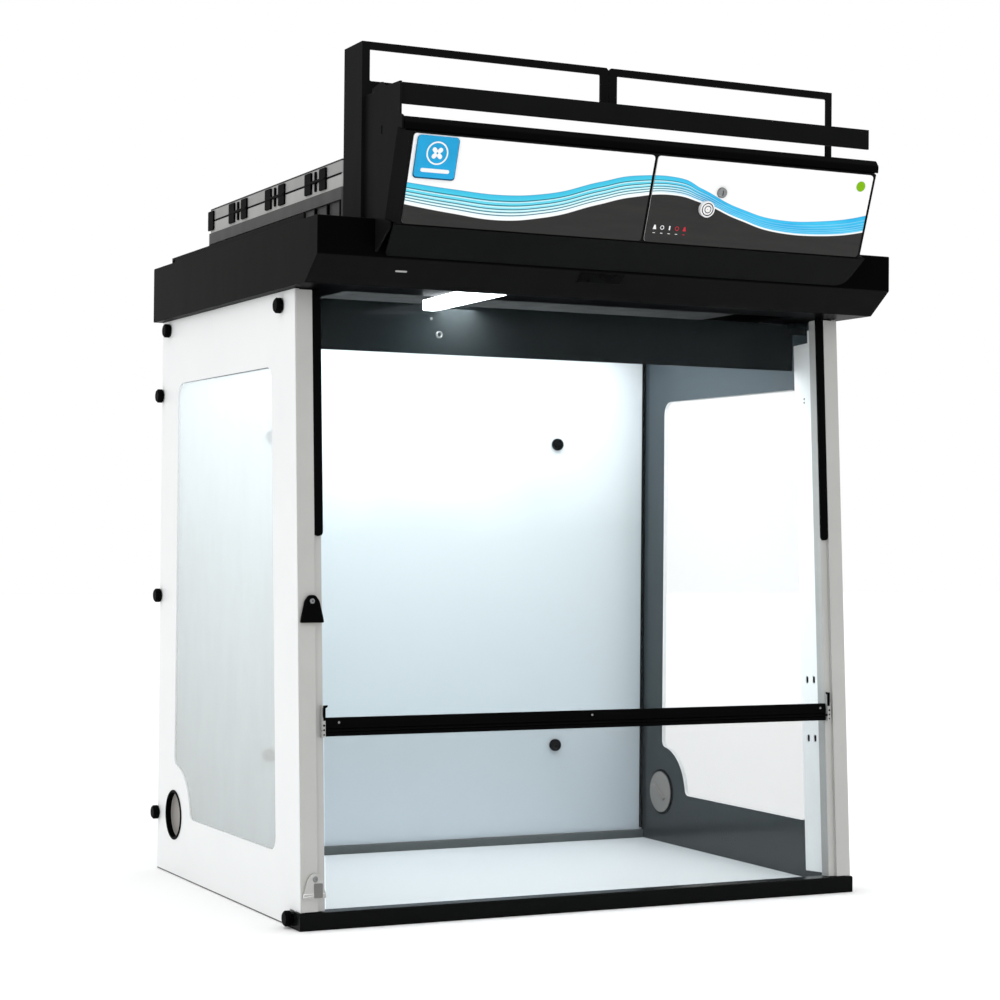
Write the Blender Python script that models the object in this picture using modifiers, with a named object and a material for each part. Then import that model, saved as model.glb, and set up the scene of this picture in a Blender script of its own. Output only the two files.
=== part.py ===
"""Bench-top ductless filtering fume hood, 800 mm wide.

The part's frame is in metres, +Z up, with +Y towards the back wall and the
origin under the middle of the hood. Sizes below are in millimetres and go
through MM. X is left to right as the user sees it.
"""

import bmesh
import bpy
from math import atan2, cos, pi, radians, sin, sqrt, tan
from mathutils import Matrix, Vector

MM = 0.001
GAP = 0.3

# Enclosure. MID_Y is the enclosure's mid-depth, seen from the part's origin.
MID_Y = 71.0
HALF_WIDTH = 387.5
HALF_DEPTH = 280.5
PANEL = 6.0
SILL_HEIGHT = 20.5
SILL_HALF = 390.0
HEAD_BOTTOM = 761.5
LEAN = radians(3.13)
FRONT_Y = MID_Y - HALF_DEPTH
BACK_Y = MID_Y + HALF_DEPTH

# Front frame, measured up the leaning front plane from the sill
FRONT_LENGTH = (HEAD_BOTTOM - SILL_HEIGHT) / cos(LEAN)
POST_INNER = 356.5
POST_RIDGE = 366.5
POST_DEPTH = 20.0
STRIP_START = 445.0
BAR_LOW = 206.4
BAR_SPLIT = 213.4
BAR_HIGH = 228.7
PANE_HALF = 354.5
CHEEK_DEPTH = 92.0
HINGE_Y = -1.2
HINGE_Z = BAR_SPLIT

# Side windows and round ports
PORT_Y = MID_Y + 208.2
PORT_Z = 81.4
PORT_RADIUS = 32.0
PORT_RING = 33.9
WINDOW_TOP = 672.0
WINDOW_LOW = 82.8
WINDOW_CLEAR = 69.0
WINDOW_FRONT = -191.8

# Filter head
HEAD_HALF = 400.0
HEAD_TOP = 836.5
HEAD_FRONT = MID_Y - 342.0
HEAD_BACK = MID_Y + 286.0
CHAMFER_Y = MID_Y - 302.0
CHAMFER_Z = 791.0
SHEET = 2.5
LENS_FRONT = MID_Y - 299.0
LENS_SLOPE = 0.06
STACK_HALF = 329.0
STACK_FRONT = MID_Y - 242.0
STACK_BACK = MID_Y + 263.5
STACK_LEVELS = (836.5, 872.5, 888.0, 904.8, 922.0)
FAN_Y = (STACK_FRONT + STACK_BACK) / 2
FAN_RADIUS = 108.0

# Console, measured up its own leaning face
CONSOLE_HALF = 328.0
FASCIA_HALF = 317.5
PANEL_RIGHT = 313.0
FASCIA_FOOT = (MID_Y - 392.2, 824.7)
FASCIA_LEAN = radians(19.6)
FASCIA_LENGTH = 106.8
RIM_LOW = 927.6
RIM_TOP = 945.3

BUTTON = (79.7, 46.8)
BUTTON_RADIUS = 10.0
LOCK = (98.0, 68.0)
LOCK_RADIUS = 6.3

# Frame above the console
LIP_FRONT = MID_Y - 406.0
LIP_LOW = 960.8
LIP_TOP = 985.6
GUIDE_HALF = 332.2
GUIDE_FRONT = MID_Y - 307.5
GUIDE_LOW = 982.0
GUIDE_SILL = 1004.0
GUIDE_TOP = 1050.8
COLUMN_DEPTH = 56.0

KNOB_RADIUS = 9.5
KNOB_LENGTH = 9.0
KNOBS = (
    ("top_rear", 249.9, 747.7),
    ("top_front", -192.7, 744.0),
    ("rear_high", 278.9, 658.6),
    ("rear_mid", 278.9, 379.7),
    ("rear_low", 278.9, 77.5),
    ("front_low", -251.8, 11.2),
)

WHITE = (0.86, 0.87, 0.87, 1)
BLACK = (0.012, 0.012, 0.013, 1)
GREY = (0.47, 0.47, 0.46, 1)
CLEAR = (0.90, 0.95, 0.97, 1)


# ---------------------------------------------------------------- helpers

for old in list(bpy.data.objects):
    bpy.data.objects.remove(old, do_unlink=True)

PARTS = bpy.data.collections.new("fume_hood")
CUTTERS = bpy.data.collections.new("cutters")
for group in (PARTS, CUTTERS):
    bpy.context.scene.collection.children.link(group)


def material(name, colour, roughness, metallic=0.0, transmission=0.0):
    mat = bpy.data.materials.new(name)
    mat.use_nodes = True
    shader = mat.node_tree.nodes["Principled BSDF"]
    shader.inputs["Base Color"].default_value = colour
    shader.inputs["Roughness"].default_value = roughness
    shader.inputs["Metallic"].default_value = metallic
    shader.inputs["Transmission Weight"].default_value = transmission
    return mat


def arc(cx, cy, radius, start, end, steps):
    """Points on an arc, angles in degrees."""
    turn = [radians(start + (end - start) * i / steps) for i in range(steps + 1)]
    return [(cx + radius * cos(a), cy + radius * sin(a)) for a in turn]


def rounded(corners, steps=4):
    """Outline from (x, y, radius) corners, each radius made as an arc."""
    points = []
    count = len(corners)
    for i, (x, y, radius) in enumerate(corners):
        here = Vector((x, y))
        if radius == 0:
            points.append((x, y))
            continue
        to_last = (Vector(corners[i - 1][:2]) - here).normalized()
        to_next = (Vector(corners[(i + 1) % count][:2]) - here).normalized()
        half = to_last.angle(to_next) / 2
        centre = here + (to_last + to_next).normalized() * radius / sin(half)
        first = here + to_last * radius / tan(half) - centre
        last = here + to_next * radius / tan(half) - centre
        a0 = atan2(first.y, first.x)
        sweep = (atan2(last.y, last.x) - a0 + pi) % (2 * pi) - pi
        for k in range(steps + 1):
            a = a0 + sweep * k / steps
            points.append((centre.x + radius * cos(a), centre.y + radius * sin(a)))
    return points


def rectangle(x0, x1, y0, y1, radius=0.0):
    return [(x0, y0, radius), (x1, y0, radius), (x1, y1, radius), (x0, y1, radius)]


def box_outline(x0, x1, y0, y1, radius=0.0, steps=4):
    return rounded(rectangle(x0, x1, y0, y1, radius), steps)


PLANES = {
    "X": Matrix.Rotation(pi / 2, 4, "Z") @ Matrix.Rotation(pi / 2, 4, "X"),
    "Y": Matrix.Rotation(pi / 2, 4, "X"),
    "Z": Matrix.Identity(4),
}


def link(obj, mat=None, parent=None, cutter=False):
    """Put an object in its collection, with its material and parent."""
    (CUTTERS if cutter else PARTS).objects.link(obj)
    obj.parent = parent
    if mat:
        obj.data.materials.append(mat)
    if cutter:
        obj.hide_render = True
        obj.display_type = "WIRE"
    return obj


def extrusion(name, axis, outlines, low, high, mat=None, parent=None, cutter=False):
    """Flat outline with holes, run along an axis from low to high.

    Outlines are (Y, Z) for axis X, (X, Z) for axis Y and (X, Y) for axis Z.
    """
    curve = bpy.data.curves.new(name, "CURVE")
    curve.dimensions = "2D"
    curve.fill_mode = "BOTH"
    curve.extrude = (high - low) / 2 * MM
    for outline in outlines:
        spline = curve.splines.new("POLY")
        spline.points.add(len(outline) - 1)
        for point, (x, y) in zip(spline.points, outline):
            point.co = (x * MM, y * MM, 0, 1)
        spline.use_cyclic_u = True
    flat = bpy.data.objects.new(name + "_outline", curve)
    bpy.context.scene.collection.objects.link(flat)
    graph = bpy.context.evaluated_depsgraph_get()
    mesh = bpy.data.meshes.new_from_object(flat.evaluated_get(graph))
    bpy.data.objects.remove(flat, do_unlink=True)
    bm = bmesh.new()
    bm.from_mesh(mesh)
    bmesh.ops.remove_doubles(bm, verts=bm.verts, dist=1e-6)
    bmesh.ops.transform(bm, matrix=PLANES[axis], verts=bm.verts)
    bmesh.ops.recalc_face_normals(bm, faces=bm.faces)
    bm.to_mesh(mesh)
    bm.free()
    mesh.name = name
    obj = bpy.data.objects.new(name, mesh)
    middle = (low + high) / 2 * MM
    obj.location["XYZ".index(axis)] = middle
    return link(obj, mat, parent, cutter)


def box(name, x, y, z, mat=None, parent=None, cutter=False, bevel=0.0):
    """Box from its (low, high) extents along each axis."""
    bm = bmesh.new()
    bmesh.ops.create_cube(bm, size=1.0)
    size = [(side[1] - side[0]) * MM for side in (x, y, z)]
    bmesh.ops.scale(bm, vec=size, verts=bm.verts)
    mesh = bpy.data.meshes.new(name)
    bm.to_mesh(mesh)
    bm.free()
    obj = bpy.data.objects.new(name, mesh)
    obj.location = [(side[0] + side[1]) / 2 * MM for side in (x, y, z)]
    if bevel:
        edges = obj.modifiers.new("edges", "BEVEL")
        edges.width = bevel * MM
        edges.segments = 2
    return link(obj, mat, parent, cutter)


def turned(name, axis, at, profile, steps, mat=None, parent=None, cutter=False):
    """Solid turned about an axis through a point.

    The profile holds (radius, height) pairs, from the top down its outer side.
    """
    mesh = bpy.data.meshes.new(name)
    bm = bmesh.new()
    verts = [bm.verts.new((r * MM, 0, h * MM)) for r, h in profile]
    for a, b in zip(verts, verts[1:]):
        bm.edges.new((a, b))
    if profile[0][0] > 0:
        bm.edges.new((verts[-1], verts[0]))
    bm.to_mesh(mesh)
    bm.free()
    obj = bpy.data.objects.new(name, mesh)
    screw = obj.modifiers.new("turn", "SCREW")
    screw.steps = steps
    screw.render_steps = steps
    screw.use_merge_vertices = True
    screw.merge_threshold = 1e-5
    screw.use_smooth_shade = True
    quarter = {"X": ("Y", 1), "-X": ("Y", -1), "Y": ("X", -1), "-Y": ("X", 1)}
    if axis in quarter:
        about, way = quarter[axis]
        obj.rotation_euler["XYZ".index(about)] = way * pi / 2
    obj.location = [value * MM for value in at]
    return link(obj, mat, parent, cutter)


def boolean(obj, other, operation="DIFFERENCE"):
    step = obj.modifiers.new(operation.lower(), "BOOLEAN")
    step.object = other
    step.operation = operation
    step.solver = "EXACT"


def union_mesh(obj, *others):
    """Join solids into one piece, and keep only the first object."""
    for other in others:
        boolean(obj, other, "UNION")
    bpy.context.view_layer.update()
    graph = bpy.context.evaluated_depsgraph_get()
    mesh = bpy.data.meshes.new_from_object(obj.evaluated_get(graph))
    obj.modifiers.clear()
    obj.data = mesh
    for other in others:
        bpy.data.objects.remove(other, do_unlink=True)
    return obj


def empty(name, at, tilt):
    obj = bpy.data.objects.new(name, None)
    obj.location = [value * MM for value in at]
    obj.rotation_euler.x = tilt
    bpy.context.scene.collection.objects.link(obj)
    return obj


def front_y(z):
    """Depth of the leaning front plane at a height."""
    return FRONT_Y + (z - SILL_HEIGHT) * tan(LEAN)


SIDES = (("left", -1), ("right", 1))
FRONT = empty("front_plane", (0, FRONT_Y, SILL_HEIGHT), -LEAN)
FACE = empty("console_face", (0, *FASCIA_FOOT), FASCIA_LEAN)


# ---------------------------------------------------------------- base

def build_base():
    steel = material("worktop_white", (0.85, 0.86, 0.87, 1), 0.35)
    inner = HALF_WIDTH - PANEL - GAP
    box("worktop", (-inner, inner), (FRONT_Y + 41, BACK_Y - 19), (0, 6), steel, bevel=1.0)

    sill = material("sill_black", BLACK, 0.4)
    nose = FRONT_Y - 2
    profile = rounded([
        (nose, 0, 0), (nose + 40, 0, 0), (nose + 40, 17.4, 0), (nose + 21, 17.4, 0),
        (nose + 18, SILL_HEIGHT, 1), (nose, SILL_HEIGHT, 2),
    ], 2)
    extrusion("front_sill", "X", [profile], -SILL_HALF, SILL_HALF, sill)

    rail = material("rear_rail_grey", GREY, 0.5)
    box("rear_rail", (-inner, inner), (BACK_Y - 18.5, BACK_Y), (0, 17.4), rail, bevel=1.0)

    frosted = material("back_panel_frosted", (0.84, 0.91, 0.94, 1), 0.45, 0.0, 0.5)
    box("back_panel", (-inner, inner), (BACK_Y - 12, BACK_Y - 7), (18, HEAD_BOTTOM - GAP), frosted)


# ---------------------------------------------------------------- sides

def window_outline(inset=0.0):
    """Window with a leaning front edge and a back corner that clears the port."""
    slope = tan(LEAN)
    front_low = MID_Y + WINDOW_FRONT + inset
    front_high = front_low + (WINDOW_TOP - WINDOW_LOW) * slope
    clear = WINDOW_CLEAR + inset
    bend = arc(PORT_Y, PORT_Z, clear, 168, 102, 6)
    corners = [
        (front_low, WINDOW_LOW + inset, 16), (PORT_Y - clear, WINDOW_LOW + inset, 10),
        *[(y, z, 0) for y, z in bend],
        (PORT_Y - inset, PORT_Z + clear, 10), (PORT_Y - inset, WINDOW_TOP - inset, 18),
        (front_high, WINDOW_TOP - inset, 16),
    ]
    return rounded(corners, 4)


def build_side(side, sign):
    white = material(side + "_panel_white", WHITE, 0.32)
    glazing = material(side + "_window_clear", CLEAR, 0.05, 0.0, 1.0)
    outer = sign * HALF_WIDTH
    inner = sign * (HALF_WIDTH - PANEL)
    low, high = min(outer, inner), max(outer, inner)
    setback = 3.0
    outline = [
        (front_y(SILL_HEIGHT) + 38.5, 0), (BACK_Y, 0), (BACK_Y, HEAD_BOTTOM - GAP),
        (front_y(HEAD_BOTTOM) + setback, HEAD_BOTTOM - GAP),
        (front_y(SILL_HEIGHT) + setback, SILL_HEIGHT + GAP),
        (front_y(SILL_HEIGHT) + 38.5, SILL_HEIGHT + GAP),
    ]
    port = arc(PORT_Y, PORT_Z, PORT_RADIUS + GAP, 0, 350, 35)
    extrusion(side + "_side_frame", "X", [outline, window_outline(), port], low, high, white)
    mid = sign * (HALF_WIDTH - PANEL / 2)
    extrusion(side + "_window", "X", [window_outline(GAP)], mid - 1.5, mid + 1.5, glazing)

    ring_mat = material(side + "_port_ring_black", (0.03, 0.03, 0.03, 1), 0.3)
    flange = PANEL / 2 + GAP
    bore = PORT_RADIUS - 1.2
    ring = [
        (bore, flange + 1.2), (PORT_RING - 0.6, flange + 1.2), (PORT_RING, flange + 0.6),
        (PORT_RING, flange), (PORT_RADIUS, flange), (PORT_RADIUS, -flange),
        (PORT_RING, -flange), (PORT_RING, -flange - 1), (PORT_RING - 1, -flange - 2),
        (bore, -flange - 2),
    ]
    axis = "-X" if sign < 0 else "X"
    turned(side + "_port_ring", axis, (mid, PORT_Y, PORT_Z), ring, 32, ring_mat)

    cover_mat = material(side + "_port_cover_grey", (0.33, 0.34, 0.35, 1), 0.45)
    radius = bore - GAP
    cover = [(0, -3.6), (radius - 2, -3.6), (radius, -2.6), (radius, -6.1), (0, -6.1)]
    disc = turned(side + "_port_cover", axis, (mid, PORT_Y, PORT_Z), cover, 32, cover_mat)
    grip = box("grip", (mid - 2, mid + 2), (PORT_Y - 17, PORT_Y + 17), (PORT_Z - 2, PORT_Z + 2))
    turned_grip = Matrix.Translation((mid * MM, PORT_Y * MM, PORT_Z * MM))
    turned_grip = turned_grip @ Matrix.Rotation(radians(35), 4, "X")
    grip.matrix_world = turned_grip @ Matrix.Translation((-sign * 7.8 * MM, 0, 0))
    union_mesh(disc, grip)


def build_knobs(side, sign):
    knob_mat = material(side + "_knob_black", BLACK, 0.45)
    profile = [
        (0, KNOB_LENGTH), (KNOB_RADIUS - 2, KNOB_LENGTH), (KNOB_RADIUS, KNOB_LENGTH - 2),
        (KNOB_RADIUS, 1.5), (KNOB_RADIUS - 2.5, GAP), (0, GAP),
    ]
    axis = "-X" if sign < 0 else "X"
    for place, y, z in KNOBS:
        seat = SILL_HALF if place == "front_low" else HALF_WIDTH
        at = (sign * seat, MID_Y + y, z)
        turned(side + "_knob_" + place, axis, at, profile, 20, knob_mat)


# ---------------------------------------------------------------- front frame

def build_post(side, sign):
    grey = material(side + "_post_grey", (0.56, 0.565, 0.55, 1), 0.4, 0.2)
    edge = HALF_WIDTH - GAP
    section = [
        (POST_INNER, 4), (POST_RIDGE, 4), (POST_RIDGE, 0), (edge, 0), (edge, 2.5),
        (HALF_WIDTH - PANEL - GAP, 2.5), (HALF_WIDTH - PANEL - GAP, POST_DEPTH),
        (POST_INNER, POST_DEPTH),
    ]
    section = [(sign * x, y) for x, y in section]
    top = FRONT_LENGTH - 1.6
    extrusion(side + "_post", "Z", [section], 1.2, top, grey, FRONT)

    black = material(side + "_guide_strip_black", BLACK, 0.35)
    low, high = sorted((sign * (POST_INNER - 1.2), sign * (POST_RIDGE - GAP)))
    strip = rounded([(low, STRIP_START, 5), (high, STRIP_START, 5), (high, top, 0), (low, top, 0)])
    extrusion(side + "_guide_strip", "Y", [strip], -3.7, -0.4, black, FRONT).location.y = 2.05 * MM

    white = material(side + "_cheek_white", WHITE, 0.3)
    near, far = POST_DEPTH + GAP, CHEEK_DEPTH
    notch = 34.0
    outline = [
        (near, 1), (far, 1), (far, top - 23), (far - notch, top - 23),
        (far - notch, top - 6), (near, top - 6),
    ]
    slots = [
        rounded([(y - 3, z - 5, 2.5), (y + 3, z - 5, 2.5), (y + 3, z + 5, 2.5), (y - 3, z + 5, 2.5)], 2)
        for y in (62, 78) for z in (180, 259)
    ]
    inner = HALF_WIDTH - PANEL - GAP
    low, high = sorted((sign * inner, sign * (inner - 2.2)))
    extrusion(side + "_cheek", "X", [outline, *slots], low, high, white, FRONT)


def tab_outline(centre, foot, height):
    """Tab with a wide foot and a round top."""
    return rounded([
        (centre - foot, 0, 1.5), (centre + foot, 0, 1.5), (centre + foot - 1, 6, 6),
        (centre + 9, height - 7, 8), (centre + 4, height, 6), (centre - 4, height, 6),
        (centre - 9, height - 7, 8), (centre - foot + 1, 6, 6),
    ], 3)


def build_front():
    clear = material("upper_pane_clear", CLEAR, 0.04, 0.0, 1.0)
    half = PANE_HALF
    top = FRONT_LENGTH - 8
    box("upper_pane", (-half, half), (8.4, 12.4), (BAR_LOW + 9, top), clear, FRONT)

    black = material("hinge_bar_black", BLACK, 0.35)
    bar = [(-1, BAR_SPLIT + 2.7), (1.2, BAR_SPLIT + 0.2), (8, BAR_SPLIT + 0.2), (8, BAR_HIGH),
           (0, BAR_HIGH), (-1, BAR_HIGH - 1)]
    extrusion("hinge_bar", "X", [bar], -half, half, black, FRONT)
    pin_mat = material("hinge_pin_steel", (0.6, 0.6, 0.6, 1), 0.3, 1.0)
    reach = POST_INNER + 3.2
    pin = turned("hinge_pin", "X", (0, HINGE_Y, HINGE_Z), [
        (0, reach), (1.3, reach), (1.3, -reach), (0, -reach)], 12, pin_mat, FRONT)
    pin.parent = FRONT

    for side, sign in SIDES:
        steel = material(side + "_hinge_bracket_steel", (0.55, 0.55, 0.55, 1), 0.35, 0.9)
        low, high = sorted((sign * (POST_INNER - 0.2), sign * (POST_INNER + 3.6)))
        plate = rounded([(-4, BAR_LOW - 1, 0.8), (3.4, BAR_LOW - 1, 0), (3.4, BAR_HIGH + 4, 0),
                         (1.4, BAR_HIGH + 6, 0), (1.4, BAR_HIGH + 15, 0), (-4, BAR_HIGH + 15, 1),
                         (-4, BAR_HIGH + 12, 0), (-1.6, BAR_HIGH + 12, 0), (-1.6, BAR_HIGH + 2, 0),
                         (-4, BAR_HIGH, 0.8)], 2)
        bore = arc(HINGE_Y, HINGE_Z, 1.3 + GAP, 0, 330, 11)
        extrusion(side + "_hinge_bracket", "X", [plate, bore], low, high, steel, FRONT)

    rail_mat = material("flap_rail_black", BLACK, 0.35)
    hinge = empty("flap_hinge", (0, HINGE_Y, HINGE_Z), 0)
    hinge.parent = FRONT
    split = BAR_SPLIT - HINGE_Z - 0.2
    low = BAR_LOW - HINGE_Z
    rail = [(-1 - HINGE_Y, low), (8 - HINGE_Y, low), (8 - HINGE_Y, split), (1.2 - HINGE_Y, split),
            (-1 - HINGE_Y, split - 2.5)]
    extrusion("flap_rail", "X", [rail], -half, half, rail_mat, hinge)
    pane_mat = material("flap_pane_clear", (0.82, 0.87, 0.89, 1), 0.05, 0.0, 1.0)
    box("flap_pane", (-half, half), (2 - HINGE_Y, 6 - HINGE_Y),
        (2.0 - HINGE_Z, low - GAP), pane_mat, hinge)

    centre = -(POST_INNER + HALF_WIDTH - 1) / 2
    foot = (HALF_WIDTH - 1 - POST_INNER) / 2 - 0.3
    rubber = material("upper_post_cap_black", BLACK, 0.6)
    cap = extrusion("upper_post_cap", "Y", [tab_outline(centre, foot, 33)], -2, 2, rubber, FRONT)
    cap.location = (0, -2.4 * MM, 341.5 * MM)
    plastic = material("lower_post_cap_clear", (0.8, 0.82, 0.82, 1), 0.15, 0.0, 0.7)
    cap = extrusion("lower_post_cap", "Y", [tab_outline(centre, foot, 29)], -1.2, 1.2, plastic, FRONT)
    cap.location = (0, -1.6 * MM, 17 * MM)


# ---------------------------------------------------------------- filter head

def build_head():
    black = material("head_tray_black", (0.017, 0.017, 0.017, 1), 0.3)
    shape = rounded([
        (CHAMFER_Y, HEAD_BOTTOM, 2), (HEAD_BACK, HEAD_BOTTOM, 2), (HEAD_BACK, HEAD_TOP, 2),
        (HEAD_FRONT, HEAD_TOP, 2), (HEAD_FRONT, CHAMFER_Z, 2),
    ], 2)
    tray = extrusion("head_tray", "X", [shape], -HEAD_HALF, HEAD_HALF, black)
    t = 3.0
    cavity = [
        (CHAMFER_Y + 2 * t, HEAD_BOTTOM + t), (HEAD_BACK - t, HEAD_BOTTOM + t),
        (HEAD_BACK - t, HEAD_TOP - t), (HEAD_FRONT + t, HEAD_TOP - t),
        (HEAD_FRONT + t, CHAMFER_Z + t / 2),
    ]
    hollow = extrusion("cut_head_cavity", "X", [cavity], -HEAD_HALF + t, HEAD_HALF - t, cutter=True)
    mouth = box("cut_head_mouth", (-322, 322), (STACK_FRONT + 7, STACK_BACK - 7), (740, 860), cutter=True)
    inlet = box("cut_inlet", (250, 298), (HEAD_BACK - 9, HEAD_BACK + 9), (786, 816), cutter=True)
    for cutter in (hollow, mouth, inlet):
        boolean(tray, cutter)
    lips = [
        extrusion("lip" + side, "X", [[
            (MID_Y - 288, HEAD_TOP - 1.5), (MID_Y + 216, HEAD_TOP - 1.5), (MID_Y + 216, HEAD_TOP + 8),
            (MID_Y - 286, HEAD_TOP + 8)], box_outline(
                MID_Y + 204, MID_Y + 212, HEAD_TOP + 1.5, HEAD_TOP + 5.5, 1, 2)],
            *sorted((sign * (HEAD_HALF - 4), sign * (HEAD_HALF - 7))))
        for side, sign in SIDES
    ]
    union_mesh(tray, *lips)

    inlet_mat = material("power_inlet_black", (0.02, 0.02, 0.02, 1), 0.5)
    socket = box("power_inlet", (250 + GAP, 298 - GAP), (HEAD_BACK - 24, HEAD_BACK + 1.5),
                 (786 + GAP, 816 - GAP), inlet_mat)
    well = box("cut_inlet_well", (261, 287), (HEAD_BACK - 16, HEAD_BACK + 9), (792, 810), cutter=True)
    boolean(socket, well)

    glossy = material("ceiling_baffle_black", (0.02, 0.02, 0.022, 1), 0.12)
    face = MID_Y - 148.0
    low = 697.6
    reach = HALF_WIDTH - PANEL - 3.2
    baffle = box("ceiling_baffle", (-reach, reach), (face, face + 3), (low, HEAD_BOTTOM - GAP), glossy)
    ears = [
        box("ear" + side, sorted((sign * reach, sign * (reach - 16))), (face - 33, face + 1),
            (HEAD_BOTTOM - 17, HEAD_BOTTOM - GAP))
        for side, sign in SIDES
    ]
    union_mesh(baffle, *ears)

    lamp_mat = material("lamp_lens_opal", (0.95, 0.95, 0.95, 1), 0.3)
    near = HEAD_BOTTOM - 1.0
    lens = rounded([(-205, LENS_FRONT, 0), (-136, LENS_FRONT, 0), (-166, face - 7, 8),
                    (-184, face - 9, 12), (-198, face - 40, 12)], 5)
    lens = extrusion("lamp_lens", "Z", [lens], HEAD_BOTTOM - 20, HEAD_BOTTOM - GAP, lamp_mat)
    below = [(LENS_FRONT - 5, near + LENS_SLOPE * 5), (face, near - LENS_SLOPE * (face - LENS_FRONT)),
             (face, near - 40), (LENS_FRONT - 5, near - 40)]
    boolean(lens, extrusion("cut_lens_slope", "X", [below], -240, -100, cutter=True))

    carbon = material("carbon_filter_grey", (0.06, 0.06, 0.06, 1), 0.8)
    box("carbon_filter", (-312, 312), (STACK_FRONT + 14, STACK_BACK - 14), (776, 866), carbon, bevel=2)


def ring_outlines(inset, wall, radius=6.0):
    half = STACK_HALF - inset
    y0, y1 = STACK_FRONT + inset, STACK_BACK - inset
    outer = box_outline(-half, half, y0, y1, radius)
    inner = box_outline(-half + wall, half - wall, y0 + wall, y1 - wall, 2.0, 2)
    return outer, inner


def build_stack():
    base, shelf, low, mid, top = STACK_LEVELS
    dark = material("filter_housing_grey", (0.10, 0.10, 0.10, 1), 0.5)
    outer, inner = ring_outlines(0, 8)
    housing = extrusion("filter_housing", "Z", [outer, inner], base + GAP, low - GAP, dark)
    for sign in (-1, 1):
        core = box("cut_core" + str(sign), sorted((sign * (STACK_HALF - 3.5), sign * 500)),
                   (STACK_FRONT + 5, STACK_BACK - 5), (base + 3, shelf), cutter=True)
        boolean(housing, core)

    pale = material("fan_shroud_light", (0.52, 0.52, 0.50, 1), 0.45)
    outer, inner = ring_outlines(1.5, 7)
    shroud = extrusion("fan_shroud", "Z", [outer, inner], low, mid - GAP, pale)
    deck_outer, _ = ring_outlines(6, 7)
    bell = arc(0, FAN_Y, 62, 0, 345, 23)
    deck = extrusion("deck", "Z", [deck_outer, bell], low + 0.5, low + 3)
    union_mesh(shroud, deck)

    cover_mat = material("exhaust_cover_light", (0.55, 0.55, 0.53, 1), 0.45)
    cover = extrusion("exhaust_cover", "Z", [outer, inner], mid + GAP, top, cover_mat)
    lid_outer, _ = ring_outlines(5, 7)
    vent = arc(0, FAN_Y, FAN_RADIUS + 6, 0, 350, 35)
    lid = extrusion("lid", "Z", [lid_outer, vent], top - 3, top - 0.4)
    bars = [
        box("bar" + str(i), (x - 2, x + 2), (FAN_Y - FAN_RADIUS - 10, FAN_Y + FAN_RADIUS + 10),
            (top - 2.6, top - 0.8))
        for i, x in enumerate(range(-96, 97, 24))
    ]
    union_mesh(cover, lid, *bars)

    motor_mat = material("fan_motor_dark", (0.05, 0.05, 0.05, 1), 0.4, 0.6)
    turned("fan_motor", "Z", (0, FAN_Y, mid - 13), [(0, 12), (40, 12), (43, 9), (43, 0), (0, 0)],
           24, motor_mat)

    rotor_mat = material("fan_impeller_grey", (0.2, 0.2, 0.2, 1), 0.45)
    disc = [(0, 12), (FAN_RADIUS, 12), (FAN_RADIUS, 10), (0, 10)]
    rotor = turned("fan_impeller", "Z", (0, FAN_Y, mid - 9 + 3), disc, 32, rotor_mat)
    blades = []
    for i in range(12):
        blade = box("blade" + str(i), (62, FAN_RADIUS - 2), (-1, 1), (-4, 10.6))
        turn = Matrix.Rotation(radians(30 * i), 4, "Z")
        skew = Matrix.Translation((85 * MM, 0, 0)) @ Matrix.Rotation(radians(35), 4, "Z")
        local = Matrix.Translation((0, 0, 3.3 * MM))
        place = Matrix.Translation((0, FAN_Y * MM, (mid - 6) * MM))
        blade.matrix_world = place @ turn @ skew @ local
        blades.append(blade)
    union_mesh(rotor, *blades)


# ---------------------------------------------------------------- console

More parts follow.
